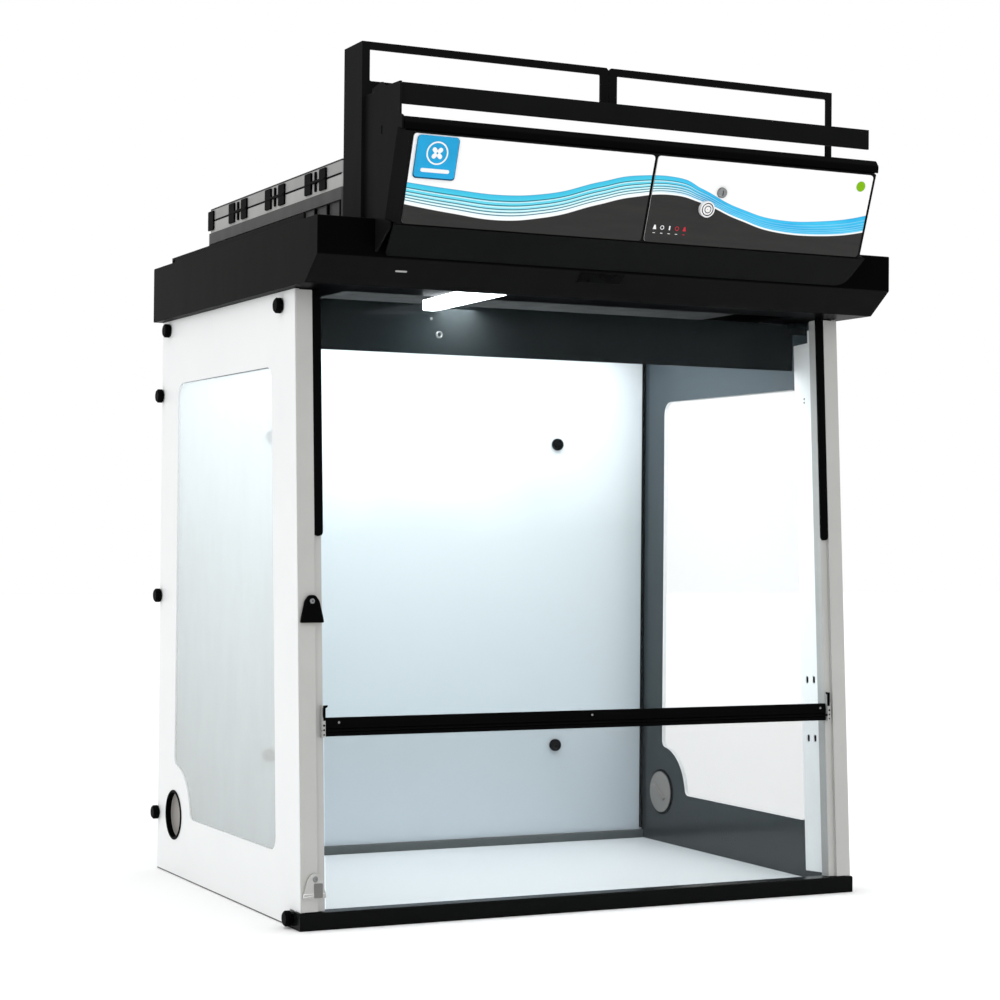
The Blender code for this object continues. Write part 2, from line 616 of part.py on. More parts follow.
def build_console():
    black = material("console_black", (0.014, 0.014, 0.015, 1), 0.38)
    foot_y, foot_z = FASCIA_FOOT
    top_y = foot_y - FASCIA_LENGTH * sin(FASCIA_LEAN)
    depth = 22.0
    outer = rounded([
        (-CONSOLE_HALF, depth, 0), (-FASCIA_HALF - 4, -2, 2), (-FASCIA_HALF - GAP, -2, 0),
        (-FASCIA_HALF - GAP, 0, 0), (PANEL_RIGHT + GAP, 0, 0), (PANEL_RIGHT + GAP, -2, 0),
        (PANEL_RIGHT + 4, -2, 2), (CONSOLE_HALF, depth, 0),
    ], 3)
    bezel = extrusion("console_bezel", "Z", [outer], 0, FASCIA_LENGTH, black, FACE)
    for name, low, high in (("left", -FASCIA_HALF + 6, -5), ("right", 5, PANEL_RIGHT - 6)):
        hole = box("cut_bay_" + name, (low, high), (-5, depth + 5), (7, FASCIA_LENGTH - 7),
                   parent=FACE, cutter=True)
        boolean(bezel, hole)

    apron_mat = material("console_apron_black", (0.02, 0.02, 0.02, 1), 0.35)
    run_y = HEAD_FRONT - 1.5 - foot_y
    run_z = 793.5 - (foot_z - 1.0)
    span = sqrt(run_y ** 2 + run_z ** 2)
    hang = empty("apron_top", (0, foot_y, foot_z - 1.0), atan2(run_y, -run_z))
    inner = CONSOLE_HALF - SHEET
    shape = rounded([(-inner + GAP, -1, 0), (-inner + 10, -span, 6), (inner + 1.2, -span, 15),
                     (inner + 1.2, -1, 0)])
    apron = extrusion("console_apron", "Y", [shape], -1.25, 1.25, apron_mat, hang)
    apron.location.y = 1.3 * MM

    def under(y, above):
        """Height above the apron's outer face at a depth behind the fascia's foot."""
        return foot_z - 1.0 + (y - foot_y) * run_z / run_y + above

    heel_y = foot_y + depth * cos(FASCIA_LEAN) + 0.8
    heel_z = foot_z + depth * sin(FASCIA_LEAN) - 0.3
    crown_y = heel_y - FASCIA_LENGTH * sin(FASCIA_LEAN)
    crown_z = heel_z + FASCIA_LENGTH * cos(FASCIA_LEAN)
    toe_y = foot_y + 8.0
    toe_z = foot_z + 8.0 * tan(FASCIA_LEAN) - 0.6
    head = HEAD_FRONT - GAP
    sides = {
        "left": [
            (head, 797.6), (head, HEAD_TOP + GAP), (GUIDE_FRONT - GAP, HEAD_TOP + GAP),
            (GUIDE_FRONT - GAP, LIP_TOP), (GUIDE_FRONT - 21.5, LIP_TOP),
            (GUIDE_FRONT - 21.5, LIP_TOP + 4.4), (GUIDE_FRONT - 50.5, LIP_TOP + 7.9),
            (GUIDE_FRONT - 58.5, LIP_TOP + 1.4), (LIP_FRONT - 5.6, LIP_TOP),
            (LIP_FRONT - 5.6, RIM_TOP + 2.7), (LIP_FRONT - 12, RIM_TOP),
            (LIP_FRONT - 12, RIM_LOW + 2.6), (crown_y, crown_z + 1), (heel_y, heel_z),
            (toe_y, toe_z), (toe_y, under(toe_y, 3.4)), (head - 1.2, under(head - 1.2, 3.4)),
        ],
        "right": [
            (head, 808), (head, HEAD_TOP + GAP), (head + 12, HEAD_TOP + GAP),
            (head - 26, RIM_LOW + 4), (crown_y, RIM_LOW + 4), (heel_y, heel_z),
            (toe_y, toe_z), (toe_y, under(toe_y, 1.3)), (foot_y + 33, under(foot_y + 33, 1.3)),
        ],
    }
    side_mat = material("left_console_side_black", (0.03, 0.032, 0.032, 1), 0.42)
    slot = box_outline(MID_Y - 361, MID_Y - 357.5, 932, 943, 1.7, 3)
    extrusion("left_console_side", "X", [sides["left"], slot], -CONSOLE_HALF, -inner, side_mat)
    union_mesh(apron, extrusion("cheek", "X", [sides["right"]], inner, CONSOLE_HALF))

    rim_mat = material("console_rim_black", BLACK, 0.35)
    back = MID_Y - 404.0
    rim = rounded([(top_y + 7, RIM_LOW + 1, 1), (crown_y, crown_z + 1, 0), (back, crown_z + 1, 1),
                   (back, RIM_TOP, 1), (top_y + 12, RIM_TOP, 5), (top_y + 6, RIM_TOP - 8, 4)], 3)
    extrusion("console_rim", "X", [rim], -inner + GAP, 326, rim_mat)

    face_mat = material("left_fascia_white", (0.9, 0.9, 0.9, 1), 0.15)
    panel = box_outline(-FASCIA_HALF, -2.2, 1, FASCIA_LENGTH - 1, 4, 3)
    extrusion("left_fascia", "Y", [panel], -1, 1, face_mat, FACE).location.y = -1.4 * MM

    door_mat = material("control_panel_white", (0.9, 0.9, 0.9, 1), 0.15)
    hinge = empty("door_hinge", (0, -2.4, FASCIA_LENGTH - 1), 0)
    hinge.parent = FACE
    height = FASCIA_LENGTH - 1
    panel = box_outline(2.2, PANEL_RIGHT, 1 - height, 0, 4, 3)
    button_hole = arc(BUTTON[0], BUTTON[1] - height, BUTTON_RADIUS + GAP, 0, 345, 23)
    lock_hole = arc(LOCK[0], LOCK[1] - height, LOCK_RADIUS + GAP, 0, 345, 23)
    door = extrusion("control_panel", "Y", [panel, button_hole, lock_hole], -1, 1, door_mat, hinge)
    door.location.y = 1 * MM

    ring_mat = material("power_button_chrome", (0.8, 0.8, 0.8, 1), 0.2, 0.6)
    r = BUTTON_RADIUS
    button = [(0, 4.6), (r * 0.28, 4.6), (r * 0.34, 5.4), (r * 0.55, 5.4), (r * 0.62, 4.8),
              (r * 0.8, 4.8), (r * 0.86, 5.6), (r - 0.8, 5.6), (r, 4.8), (r, -4), (0, -4)]
    turned("power_button", "-Y", (BUTTON[0], 0, BUTTON[1] - height), button, 32, ring_mat, hinge)

    lock_mat = material("lock_cylinder_steel", (0.42, 0.43, 0.44, 1), 0.35, 0.8)
    r = LOCK_RADIUS
    body = [(0, 3.6), (r - 1, 3.6), (r, 2.6), (r, -8), (0, -8)]
    barrel = turned("lock_cylinder", "-Y", (LOCK[0], 0, LOCK[1] - height), body, 24, lock_mat, hinge)
    slot = box("cut_key_slot", (LOCK[0] - 0.7, LOCK[0] + 0.7), (-6, -1.5),
               (LOCK[1] - height - 3, LOCK[1] - height + 3), parent=hinge, cutter=True)
    boolean(barrel, slot)


# ---------------------------------------------------------------- upper frame

def build_guides():
    black = material("lip_deck_black", BLACK, 0.38)
    back = GUIDE_FRONT - GAP
    lip = [(LIP_FRONT, LIP_LOW), (LIP_FRONT + 3, LIP_LOW), (LIP_FRONT + 3, LIP_TOP - 3),
           (back, LIP_TOP - 3), (back, LIP_TOP), (LIP_FRONT, LIP_TOP)]
    extrusion("lip_deck", "X", [lip], -CONSOLE_HALF + SHEET + GAP, 322, black)

    t = 4.2
    top = GUIDE_TOP
    for side, sign in SIDES:
        frame_mat = material(side + "_guide_frame_black", BLACK, 0.4)
        outer_w = 10.0 if sign < 0 else 8.0
        shape = [(GUIDE_HALF, GUIDE_LOW), (GUIDE_HALF, top), (3.5, top), (0.5, top - 3),
                 (0.5, GUIDE_LOW)]
        if sign > 0:
            shape = [(GUIDE_HALF - outer_w, GUIDE_LOW), (GUIDE_HALF - outer_w, HEAD_TOP + GAP),
                     (GUIDE_HALF, HEAD_TOP + GAP), *shape[1:]]
        hole = box_outline(11.5, GUIDE_HALF - outer_w, GUIDE_SILL, top - 9, 1.5, 2)
        shape = [(sign * x, z) for x, z in shape]
        hole = [(sign * x, z) for x, z in hole]
        frame = extrusion(side + "_guide_frame", "Y", [shape, hole], -t / 2, t / 2, frame_mat)
        frame.location.y = (GUIDE_FRONT + t / 2) * MM
        if sign < 0:
            x0 = -GUIDE_HALF
            y0, y1 = GUIDE_FRONT, GUIDE_FRONT + COLUMN_DEPTH
            channel = [(x0, y0), (x0 + 10, y0), (x0 + 10, y0 + t - 0.5), (x0 + SHEET, y0 + t - 0.5),
                       (x0 + SHEET, y1 - SHEET), (x0 + 10, y1 - SHEET), (x0 + 10, y1), (x0, y1)]
            union_mesh(frame, extrusion("column", "Z", [channel], HEAD_TOP + GAP, top))


build_base()
for side_name, side_sign in SIDES:
    build_side(side_name, side_sign)
    build_knobs(side_name, side_sign)
    build_post(side_name, side_sign)
build_front()
build_head()
build_stack()
build_console()
build_guides()
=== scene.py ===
"""Looks for the bench-top fume hood: materials, fittings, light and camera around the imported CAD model.

Everything is in metres in the part's frame. +Z is up, +Y goes to the back wall, and the origin is
under the middle of the hood. MM turns millimetres into metres.
"""

from math import atan2, cos, pi, radians, sin

import bmesh
import bpy
from mathutils import Matrix, Vector


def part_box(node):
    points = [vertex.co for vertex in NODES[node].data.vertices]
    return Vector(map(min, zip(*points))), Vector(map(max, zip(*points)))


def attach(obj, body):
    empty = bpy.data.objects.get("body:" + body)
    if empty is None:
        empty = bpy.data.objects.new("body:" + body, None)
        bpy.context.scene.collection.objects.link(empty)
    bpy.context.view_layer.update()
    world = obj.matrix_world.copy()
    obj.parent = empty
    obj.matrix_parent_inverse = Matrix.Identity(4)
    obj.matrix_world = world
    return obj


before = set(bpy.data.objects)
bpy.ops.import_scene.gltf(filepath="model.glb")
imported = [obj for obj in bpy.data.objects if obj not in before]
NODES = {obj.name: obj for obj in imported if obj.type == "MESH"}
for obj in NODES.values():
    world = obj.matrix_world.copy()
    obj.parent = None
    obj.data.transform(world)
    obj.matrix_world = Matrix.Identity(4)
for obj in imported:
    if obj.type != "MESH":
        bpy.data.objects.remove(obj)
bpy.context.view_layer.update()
MM = 0.001


# ------------------------------------------------------------------ places

def low(node):
    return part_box(node)[0]


def high(node):
    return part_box(node)[1]


def centre(node):
    return (low(node) + high(node)) / 2


FRONT_LEAN = radians(3.13)
FACE_LEAN = radians(19.6)
SILL_TOP = high("front_sill").z
FRONT_FOOT = Vector((0, low("front_sill").y + 2 * MM, SILL_TOP))
FACE_FOOT = Vector((0, -0.3212, 0.8247))

# x to the right, y into the hood, z up the leaning plane
FRONT = Matrix.Translation(FRONT_FOOT) @ Matrix.Rotation(-FRONT_LEAN, 4, "X")
FACE = Matrix.Translation(FACE_FOOT) @ Matrix.Rotation(FACE_LEAN, 4, "X")
FACE_SKIN = -2.4 * MM


# ------------------------------------------------------------------ node helpers

def add(tree, kind, values=None, **settings):
    """Add a shader node, with its inputs given by name or number as values or sockets."""
    made = tree.nodes.new("ShaderNode" + kind)
    for key, value in settings.items():
        setattr(made, key, value)
    for key, value in (values or {}).items():
        if isinstance(value, bpy.types.NodeSocket):
            tree.links.new(value, made.inputs[key])
        else:
            made.inputs[key].default_value = value
    return made


def math_node(tree, operation, *values, clamp=False):
    return add(tree, "Math", dict(enumerate(values)), operation=operation, use_clamp=clamp).outputs[0]


def remap(tree, value, from_low, from_high, to_low, to_high, smooth=False):
    kind = "SMOOTHSTEP" if smooth else "LINEAR"
    values = {"Value": value, "From Min": from_low, "From Max": from_high, "To Min": to_low, "To Max": to_high}
    return add(tree, "MapRange", values, interpolation_type=kind).outputs["Result"]


def mix_colour(tree, share, first, second, blend="MIX"):
    made = add(tree, "Mix", data_type="RGBA", blend_type=blend)
    for index, value in ((0, share), (6, first), (7, second)):
        if isinstance(value, bpy.types.NodeSocket):
            tree.links.new(value, made.inputs[index])
        else:
            made.inputs[index].default_value = value
    return made.outputs[2]


def rgb(red, green, blue):
    return (red, green, blue, 1.0)


def object_point(tree, scale=(1, 1, 1)):
    point = add(tree, "TexCoord").outputs["Object"]
    return add(tree, "Mapping", {"Vector": point, "Scale": scale}).outputs["Vector"]


def axes(tree):
    split = add(tree, "SeparateXYZ", {0: add(tree, "TexCoord").outputs["Object"]})
    return split.outputs[0], split.outputs[1], split.outputs[2]


def noise(tree, vector, scale, detail=3.0, roughness=0.55):
    values = {"Vector": vector, "Scale": scale, "Detail": detail, "Roughness": roughness}
    return add(tree, "TexNoise", values).outputs[0]


def start(name):
    mat = bpy.data.materials.new(name)
    mat.use_nodes = True
    return mat, mat.node_tree, mat.node_tree.nodes["Principled BSDF"]


def feed(tree, shader, **sockets):
    for key, value in sockets.items():
        name = key.replace("_", " ")
        if isinstance(value, bpy.types.NodeSocket):
            tree.links.new(value, shader.inputs[name])
        else:
            shader.inputs[name].default_value = value


def edge_mask(tree, radius):
    """1 on sharp outer edges, fading to 0 within a radius."""
    soft = add(tree, "Bevel", {"Radius": radius}, samples=4).outputs[0]
    hard = add(tree, "NewGeometry").outputs["Normal"]
    facing = add(tree, "VectorMath", {0: soft, 1: hard}, operation="DOT_PRODUCT").outputs["Value"]
    return remap(tree, facing, 0.999, 0.90, 0.0, 1.0), soft


def coated(name, colour, roughness, specular=0.3, grain=900.0, bump=0.15, depth=0.02 * MM,
           mottle=0.08, wear_and_highlight=0.10, metallic=0.0, coat=0.0, stretch=(1, 1, 1), radius=0.5 * MM, streak=0.06):
    """Painted, moulded or anodised surface: fine grain, soft mottling, and lighter edges that are partly scuffing and
    partly painted highlight.
    """
    mat, tree, shader = start(name)
    point = object_point(tree, stretch)
    fine = noise(tree, point, grain, 4.0)
    broad = noise(tree, object_point(tree), 14.0, 4.0, 0.6)
    smear = noise(tree, object_point(tree, (1, 1, 0.25)), 46.0, 3.0)
    edges, soft = edge_mask(tree, radius)
    shade = remap(tree, broad, 0.3, 0.7, 1 - mottle, 1 + mottle)
    tint = add(tree, "VectorMath", {0: colour[:3], "Scale": shade}, operation="SCALE").outputs["Vector"]
    # Lighter edges: partly scuffing, partly a painted highlight where light catches the edge.
    worn_and_highlit_edge = [min(1.0, value * 1.6 + 0.06) for value in colour[:3]] + [1.0]
    rubbed_and_highlit = math_node(tree, "MULTIPLY", edges, remap(tree, fine, 0.35, 0.65, 0.0, 2 * wear_and_highlight))
    feed(tree, shader, Base_Color=mix_colour(tree, rubbed_and_highlit, tint, worn_and_highlit_edge), Metallic=metallic,
         Specular_IOR_Level=specular, Coat_Weight=coat, Coat_Roughness=0.08)
    polish = remap(tree, smear, 0.3, 0.7, roughness - streak, roughness + streak)
    feed(tree, shader, Roughness=math_node(tree, "ADD", polish, remap(tree, fine, 0.3, 0.7, -0.02, 0.02)))
    relief = add(tree, "Bump", {"Strength": bump, "Distance": depth, "Height": fine, "Normal": soft})
    feed(tree, shader, Normal=relief.outputs["Normal"])
    return mat


def clear(name, colour, alpha, roughness=0.04, specular=0.5):
    """Clear acrylic sheet with faint wiping marks and fine scratches."""
    mat, tree, shader = start(name)
    wipe = noise(tree, object_point(tree, (1, 1, 0.35)), 26.0, 5.0, 0.65)
    scratch = noise(tree, object_point(tree, (1, 1, 12)), 160.0, 2.0)
    shade = remap(tree, wipe, 0.3, 0.7, 0.9, 1.1)
    tint = add(tree, "VectorMath", {0: colour[:3], "Scale": shade}, operation="SCALE").outputs["Vector"]
    feed(tree, shader, Base_Color=tint, Alpha=alpha, Specular_IOR_Level=specular,
         Roughness=remap(tree, wipe, 0.3, 0.7, roughness, roughness + 0.06))
    relief = add(tree, "Bump", {"Strength": 0.04, "Distance": 0.01 * MM, "Height": scratch})
    feed(tree, shader, Normal=relief.outputs["Normal"])
    return mat


# ------------------------------------------------------------------ materials

def window_sheet(name, alpha, foot, crown):
    """Side window: faintly milky acrylic with painted light, darker low down and whiter towards the top."""
    mat, tree, shader = start(name)
    _, _, up = axes(tree)
    wipe = noise(tree, object_point(tree, (1, 1, 0.35)), 22.0, 5.0, 0.6)
    speck = noise(tree, object_point(tree), 1300.0, 2.0)
    # Painted light: the colour runs from the darker foot colour low down to the whiter crown colour high up.
    height = remap(tree, math_node(tree, "ADD", up, remap(tree, wipe, 0.3, 0.7, -0.03, 0.03)), 0.08, 0.66, 0.0, 1.0)
    feed(tree, shader, Base_Color=mix_colour(tree, height, foot, crown), Alpha=alpha,
         Roughness=remap(tree, wipe, 0.3, 0.7, 0.10, 0.20), Specular_IOR_Level=0.3)
    relief = add(tree, "Bump", {"Strength": 0.03, "Distance": 0.01 * MM, "Height": speck})
    feed(tree, shader, Normal=relief.outputs["Normal"])
    return mat


def side_panel(name):
    """White sheet outside, with a painted shadow line at its foot; the inner face is painted shade, a glossy dark
    blue-grey that lightens towards the top.
    """
    mat, tree, shader = start(name)
    across, _, up = axes(tree)
    broad = noise(tree, object_point(tree), 9.0, 4.0, 0.6)
    fine = noise(tree, object_point(tree), 1100.0, 4.0)
    edges, soft = edge_mask(tree, 0.6 * MM)
    # Painted shade: the inner face is a dark blue-grey, lighter towards the top.
    inside = remap(tree, math_node(tree, "ABSOLUTE", across), 0.38165, 0.38185, 1.0, 0.0)
    height = remap(tree, up, 0.05, 0.72, 0.0, 1.0)
    inner_painted_shade = mix_colour(tree, height, rgb(0.030, 0.036, 0.036), rgb(0.045, 0.062, 0.074))
    white = mix_colour(tree, remap(tree, broad, 0.3, 0.7, 0.0, 1.0), rgb(0.80, 0.815, 0.82), rgb(0.835, 0.85, 0.85))
    white = mix_colour(tree, math_node(tree, "MULTIPLY", edges, 0.35), white, rgb(0.62, 0.64, 0.64))
    # Painted shadow: a near-black line along the foot of the white sheet, where it meets the floor.
    foot = remap(tree, up, 1.1 * MM, 1.5 * MM, 1.0, 0.0)
    white = mix_colour(tree, foot, white, rgb(0.05, 0.05, 0.05))
    feed(tree, shader, Base_Color=mix_colour(tree, inside, white, inner_painted_shade), Specular_IOR_Level=0.25)
    gloss = remap(tree, broad, 0.3, 0.7, 0.30, 0.38)
    feed(tree, shader, Roughness=mix_value(tree, inside, gloss, 0.14))
    relief = add(tree, "Bump", {"Strength": 0.08, "Distance": 0.02 * MM, "Height": fine, "Normal": soft})
    feed(tree, shader, Normal=relief.outputs["Normal"])
    return mat


def mix_value(tree, share, first, second):
    made = add(tree, "Mix", data_type="FLOAT")
    for index, value in ((0, share), (2, first), (3, second)):
        if isinstance(value, bpy.types.NodeSocket):
            tree.links.new(value, made.inputs[index])
        else:
            made.inputs[index].default_value = value
    return made.outputs[0]


def back_sheet(name):
    """Frosted pale acrylic with painted light: bright at the top under the lamp, darker and bluer lower down."""
    mat, tree, shader = start(name)
    across, _, up = axes(tree)
    frost = noise(tree, object_point(tree), 700.0, 3.0)
    broad = noise(tree, object_point(tree), 5.0, 3.0)
    # Painted light: the colour ramp up the sheet stands for the lamp's light falling off downwards.
    drift = math_node(tree, "ADD", up, remap(tree, broad, 0.3, 0.7, -0.03, 0.03))
    ramp = add(tree, "ValToRGB", {"Fac": remap(tree, drift, 0.0, 0.75, 0.0, 1.0)})
    painted_light_stops = ((0.04, rgb(0.66, 0.74, 0.80)), (0.30, rgb(0.58, 0.655, 0.69)), (0.62, rgb(0.62, 0.69, 0.71)),
             (0.92, rgb(0.88, 0.94, 0.96)))
    band = ramp.color_ramp
    band.elements[0].position, band.elements[0].color = painted_light_stops[0]
    band.elements[1].position, band.elements[1].color = painted_light_stops[-1]
    for place, colour in painted_light_stops[1:-1]:
        band.elements.new(place).color = colour
    feed(tree, shader, Base_Color=ramp.outputs["Color"], Specular_IOR_Level=0.4,
         Roughness=remap(tree, frost, 0.3, 0.7, 0.34, 0.46))
    relief = add(tree, "Bump", {"Strength": 0.12, "Distance": 0.03 * MM, "Height": frost})
    feed(tree, shader, Normal=relief.outputs["Normal"])
    return mat


# The wave printed on the fascia: (x, lower edge, upper edge) in millimetres up the console's face
WAVE = (
    (-318, 23.5, 49), (-257, 17, 45), (-196, 13, 43), (-144, 19, 48), (-68, 41, 69), (-20, 54, 80),
    (30, 60, 82), (69, 54, 71), (130, 36, 50), (191, 24, 40), (250, 24, 43), (318, 34, 56),
)
WAVE_SPAN = 320.0
WAVE_TOP = 110.0


def wave_edge(tree, along, index):
    """Height of one edge of the wave, in metres up the face, from the place across it."""
    curve = add(tree, "FloatCurve", {"Value": remap(tree, along, -WAVE_SPAN * MM, WAVE_SPAN * MM, 0, 1)})
    line = curve.mapping.curves[0]
    points = [((row[0] + WAVE_SPAN) / (2 * WAVE_SPAN), row[index] / WAVE_TOP) for row in WAVE]
    for place, height in points[1:-1]:
        line.points.new(place, height)
    line.points[0].location = points[0]
    line.points[len(points) - 1].location = points[-1]
    curve.mapping.update()
    return math_node(tree, "MULTIPLY", curve.outputs[0], WAVE_TOP * MM)


def fascia_print(name):
    """Gloss white panel with a blue wave of fine lines over a charcoal foot."""
    mat, tree, shader = start(name)
    point = add(tree, "TexCoord").outputs["Object"]
    along, _, _ = axes(tree)
    from_foot = add(tree, "VectorMath", {0: point, 1: FACE_FOOT}, operation="SUBTRACT").outputs["Vector"]
    up_face = (0, -sin(FACE_LEAN), cos(FACE_LEAN))
    up = add(tree, "VectorMath", {0: from_foot, 1: up_face}, operation="DOT_PRODUCT").outputs["Value"]
    foot, crest = wave_edge(tree, along, 1), wave_edge(tree, along, 2)
    height = math_node(tree, "SUBTRACT", up, foot)
    share = math_node(tree, "DIVIDE", height, math_node(tree, "SUBTRACT", crest, foot))

    def band(centre_at, width, dark):
        """Fine line along the wave at a share of its height, stronger towards the left."""
        gap = math_node(tree, "ABSOLUTE", math_node(tree, "SUBTRACT", share, centre_at))
        line = remap(tree, gap, width * 0.35, width, 1.0, 0.0, smooth=True)
        fade = remap(tree, along, 0.03, 0.12, 1.0, 0.12 if dark else 0.3)
        return math_node(tree, "MULTIPLY", line, fade)

    streak = noise(tree, object_point(tree, (1, 1, 9)), 16.0, 4.0)
    ramp = add(tree, "ValToRGB", {"Fac": share})
    fade = ramp.color_ramp
    fade.elements[0].position, fade.elements[0].color = 0.16, rgb(0.86, 0.96, 0.96)
    fade.elements[1].position, fade.elements[1].color = 1.0, rgb(0.045, 0.50, 0.76)
    for place, shade in ((0.34, rgb(0.45, 0.85, 0.90)), (0.55, rgb(0.17, 0.72, 0.85)), (0.78, rgb(0.07, 0.60, 0.78))):
        fade.elements.new(place).color = shade
    right = mix_colour(tree, remap(tree, streak, 0.35, 0.65, 0.0, 1.0), rgb(0.025, 0.44, 0.80), rgb(0.06, 0.56, 0.86))
    blue = mix_colour(tree, remap(tree, along, 0.0, 0.08, 0.0, 1.0), ramp.outputs["Color"], right)
    for at in (0.19, 0.31, 0.43, 0.58, 0.76):
        blue = mix_colour(tree, math_node(tree, "MULTIPLY", band(at - 0.045, 0.04, False), 0.6), blue, rgb(0.86, 0.97, 0.98))
        blue = mix_colour(tree, math_node(tree, "MULTIPLY", band(at, 0.032, True), 0.95), blue, rgb(0.015, 0.12, 0.19))
    blue = mix_colour(tree, remap(tree, share, 0.965, 0.99, 0.0, 0.5), blue, rgb(0.02, 0.12, 0.20))
    crisp = 0.25 * MM
    in_wave = remap(tree, height, -crisp, crisp, 0.0, 1.0)
    above = remap(tree, math_node(tree, "SUBTRACT", up, crest), -crisp, crisp, 0.0, 1.0)
    trim = remap(tree, height, 2.4 * MM, 1.6 * MM, 0.0, 1.0)
    charcoal = mix_colour(tree, remap(tree, streak, 0.3, 0.7, 0.0, 1.0), rgb(0.026, 0.025, 0.025), rgb(0.031, 0.030, 0.029))
    colour = mix_colour(tree, trim, blue, rgb(0.93, 0.95, 0.95))
    colour = mix_colour(tree, in_wave, charcoal, colour)
    colour = mix_colour(tree, above, colour, rgb(0.93, 0.93, 0.93))
    ahead = (0, -cos(FACE_LEAN), -sin(FACE_LEAN))
    proud = add(tree, "VectorMath", {0: from_foot, 1: ahead}, operation="DOT_PRODUCT").outputs["Value"]
    colour = mix_colour(tree, remap(tree, proud, 1.5 * MM, 1.9 * MM, 0.0, 1.0), rgb(0.62, 0.62, 0.61), colour)
    grain = noise(tree, object_point(tree), 1500.0, 3.0)
    feed(tree, shader, Base_Color=colour, Specular_IOR_Level=0.12,
         Roughness=remap(tree, grain, 0.3, 0.7, 0.20, 0.26))
    relief = add(tree, "Bump", {"Strength": 0.05, "Distance": 0.02 * MM, "Height": grain})
    feed(tree, shader, Normal=relief.outputs["Normal"])
    return mat


def lit(name, colour, strength):
    """Opal diffuser with a fine prismatic pattern, lit from inside."""
    mat, tree, shader = start(name)
    cell = add(tree, "TexVoronoi", {"Vector": object_point(tree), "Scale": 420.0}).outputs["Distance"]
    feed(tree, shader, Base_Color=colour, Emission_Color=mix_colour(
        tree, remap(tree, cell, 0.1, 0.7, 0.0, 0.25), colour, rgb(0.80, 0.86, 0.90)),
        Emission_Strength=strength, Roughness=0.3)
    relief = add(tree, "Bump", {"Strength": 0.2, "Distance": 0.1 * MM, "Height": cell})
    feed(tree, shader, Normal=relief.outputs["Normal"])
    return mat


def button_cap(name, middle):
    """White push button with dark rings turned into its face."""
    mat, tree, shader = start(name)
    reach = add(tree, "VectorMath", {0: add(tree, "TexCoord").outputs["Object"], 1: middle}, operation="DISTANCE")
    radius = reach.outputs["Value"]
    grain = noise(tree, object_point(tree), 1200.0, 3.0)
    dark = 0.0
    for inner, outer in ((7.0, 8.3), (4.4, 5.4), (0.0, 1.9)):
        inside = remap(tree, radius, inner * MM, (inner + 0.25) * MM, 0.0 if inner else 1.0, 1.0)
        outside = remap(tree, radius, outer * MM, (outer + 0.25) * MM, 1.0, 0.0)
        dark = math_node(tree, "MAXIMUM", dark, math_node(tree, "MULTIPLY", inside, outside))
    feed(tree, shader, Base_Color=mix_colour(tree, dark, rgb(0.88, 0.88, 0.88), rgb(0.012, 0.012, 0.02)),
         Roughness=remap(tree, grain, 0.3, 0.7, 0.20, 0.28), Specular_IOR_Level=0.3)
    relief = add(tree, "Bump", {"Strength": 0.06, "Distance": 0.02 * MM, "Height": grain})
    feed(tree, shader, Normal=relief.outputs["Normal"])
    return mat


def topped(name, colour, roof):
    """Pale moulding whose top edge is black above a given height."""
    mat = coated(name, colour, 0.42, 0.10, 1200, 0.25, mottle=0.05, wear_and_highlight=0.04)
    tree = mat.node_tree
    shader = tree.nodes["Principled BSDF"]
    body = shader.inputs["Base Color"].links[0].from_socket
    _, _, up = axes(tree)
    cap = remap(tree, up, roof - 0.3 * MM, roof + 0.1 * MM, 0.0, 1.0)
    feed(tree, shader, Base_Color=mix_colour(tree, cap, body, rgb(0.006, 0.006, 0.006)))
    return mat


def tray_with_painted_shade(name):
    """Black tray with painted shade: the upright front of the head and a thin line along its lowest edge are a deeper
    black than its sides.
    """
    mat = coated(name, rgb(0.0062, 0.0062, 0.006), 0.36, 0.008, 900, 0.12, wear_and_highlight=0.16, streak=0.015)
    tree = mat.node_tree
    shader = tree.nodes["Principled BSDF"]
    body = shader.inputs["Base Color"].links[0].from_socket
    _, depth, up = axes(tree)
    # Painted shade: the upright front face of the head, high up, is made a deeper black.
    front = remap(tree, depth, -0.2708, -0.2703, 1.0, 0.0)
    high_up = remap(tree, up, 0.7905, 0.7915, 0.0, 1.0)
    share = math_node(tree, "MULTIPLY", front, high_up)
    # Painted shade: a thin deeper-black line along the tray's lowest edge.
    foot = low("head_tray").z
    share = math_node(tree, "MAXIMUM", share, remap(tree, up, foot + 0.2 * MM, foot + 0.6 * MM, 1.0, 0.0))
    feed(tree, shader, Base_Color=mix_colour(tree, share, body, rgb(0.0015, 0.0015, 0.0018)))
    return mat


